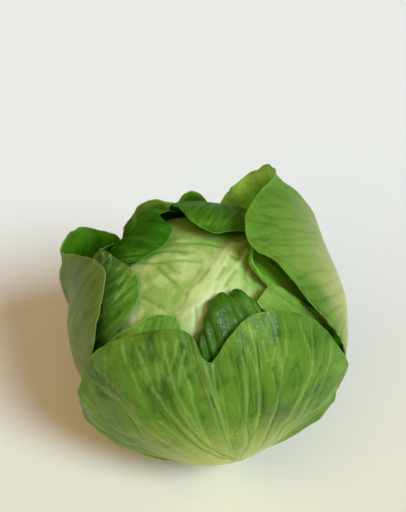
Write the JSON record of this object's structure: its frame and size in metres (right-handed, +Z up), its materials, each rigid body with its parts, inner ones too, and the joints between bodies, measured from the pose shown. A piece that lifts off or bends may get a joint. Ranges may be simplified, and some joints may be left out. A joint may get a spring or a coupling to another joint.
{
  "type": "cabbage",
  "caption": "Green cabbage as picked: a dense pale head wrapped in loose waved outer leaves, standing on the flat cut face of its stem.",
  "frame": {"origin": "centre of the stem's flat cut face, on the surface it stands on", "axes": "+Z up along the stem through the head; -Y towards the notched front leaf, +X towards the tall leaf"},
  "size_m": [0.2128, 0.215, 0.2134],
  "materials": {
    "head_leaf": "smooth pale leaf with a waxy sheen",
    "cut_stem": "fibrous stalk with a dry cut face",
    "inner_leaf": "fresh saturated leaf, softly glossy",
    "glossy_leaf": "dark puckered leaf with a wet gloss",
    "outer_leaf": "veined outer leaf with a waxy bloom"
  },
  "bodies": {
    "root": {"head": "head_leaf", "stem": "cut_stem", "inner_leaf_left": "inner_leaf", "inner_leaf_right": "inner_leaf", "inner_leaf_back_left": "inner_leaf", "curled_leaf_front": "glossy_leaf", "hooked_leaf_front_left": "inner_leaf", "back_leaf_over_crown": "inner_leaf", "folded_leaf_right": "outer_leaf", "back_leaf_left": "outer_leaf", "outer_leaf_left": "outer_leaf", "tall_leaf_right": "outer_leaf", "outer_leaf_back": "outer_leaf", "outer_leaf_front": "outer_leaf"}
  },
  "joints": []
}
